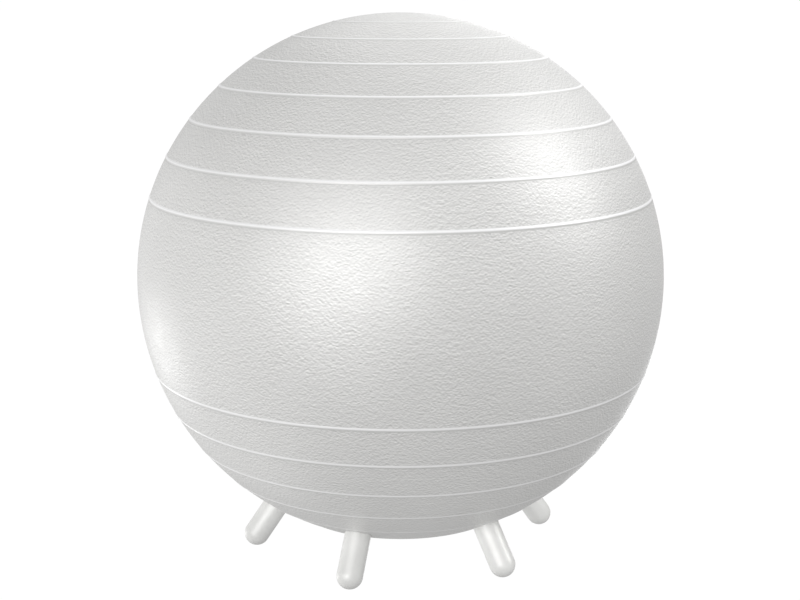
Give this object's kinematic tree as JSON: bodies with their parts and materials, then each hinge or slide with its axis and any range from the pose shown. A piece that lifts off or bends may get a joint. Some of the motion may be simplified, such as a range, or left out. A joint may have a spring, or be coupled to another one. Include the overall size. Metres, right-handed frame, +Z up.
{
  "type": "sitting ball with feet",
  "caption": "Inflated ribbed vinyl sitting ball that stands on a ring of short splayed hollow feet, with a moulded grain, a smooth middle band and a stoppered valve at the back.",
  "frame": {"origin": "on the floor under the soles, on the vertical axis through the ball's centre", "axes": "+Z up; -Y is the front, midway between two feet; the valve is at the back, +Y; +X is to the right seen from the front"},
  "size_m": [0.6498, 0.6498, 0.666],
  "materials": {
    "ball_vinyl": "pearl silver soft vinyl with a fine wrinkled grain",
    "foot_vinyl": "pearl silver soft vinyl, smooth satin",
    "seat_vinyl": "soft vinyl, satin",
    "plug_plastic": "white, slightly glossy"
  },
  "bodies": {
    "ball": {"ball_skin": "ball_vinyl", "valve_seat": "seat_vinyl"},
    "foot_front_left": {"foot_front_left": "foot_vinyl"},
    "foot_front_right": {"foot_front_right": "foot_vinyl"},
    "foot_right": {"foot_right": "foot_vinyl"},
    "foot_rear_right": {"foot_rear_right": "foot_vinyl"},
    "foot_rear_left": {"foot_rear_left": "foot_vinyl"},
    "foot_left": {"foot_left": "foot_vinyl"},
    "valve_plug": {"valve_plug": "plug_plastic"}
  },
  "joints": [
    {"name": "foot_front_left_flex", "type": "hinge", "parent": "ball", "child": "foot_front_left", "pos_m": [-0.07878, -0.13645, 0.05675], "axis": [-0.866, 0.5, 0], "range_deg": [-10, 25], "stiffness_Nm_per_rad": 5, "springref_deg": -1, "deforming": ["foot_front_left"]},
    {"name": "foot_front_right_flex", "type": "hinge", "parent": "ball", "child": "foot_front_right", "pos_m": [0.07878, -0.13645, 0.05675], "axis": [-0.866, -0.5, 0], "range_deg": [-10, 25], "stiffness_Nm_per_rad": 5, "springref_deg": -1, "deforming": ["foot_front_right"]},
    {"name": "foot_right_flex", "type": "hinge", "parent": "ball", "child": "foot_right", "pos_m": [0.15756, 0, 0.05675], "axis": [0, -1, 0], "range_deg": [-10, 25], "stiffness_Nm_per_rad": 5, "springref_deg": -1, "deforming": ["foot_right"]},
    {"name": "foot_rear_right_flex", "type": "hinge", "parent": "ball", "child": "foot_rear_right", "pos_m": [0.07878, 0.13645, 0.05675], "axis": [0.866, -0.5, 0], "range_deg": [-10, 25], "stiffness_Nm_per_rad": 5, "springref_deg": -1, "deforming": ["foot_rear_right"]},
    {"name": "foot_rear_left_flex", "type": "hinge", "parent": "ball", "child": "foot_rear_left", "pos_m": [-0.07878, 0.13645, 0.05675], "axis": [0.866, 0.5, 0], "range_deg": [-10, 25], "stiffness_Nm_per_rad": 5, "springref_deg": -1, "deforming": ["foot_rear_left"]},
    {"name": "foot_left_flex", "type": "hinge", "parent": "ball", "child": "foot_left", "pos_m": [-0.15756, 0, 0.05675], "axis": [0, 1, 0], "range_deg": [-10, 25], "stiffness_Nm_per_rad": 5, "springref_deg": -1, "deforming": ["foot_left"]},
    {"name": "valve_plug_pull", "type": "slide", "parent": "ball", "child": "valve_plug", "axis": [0, 0.9903, 0.1392], "range_m": [0, 0.03]}
  ]
}
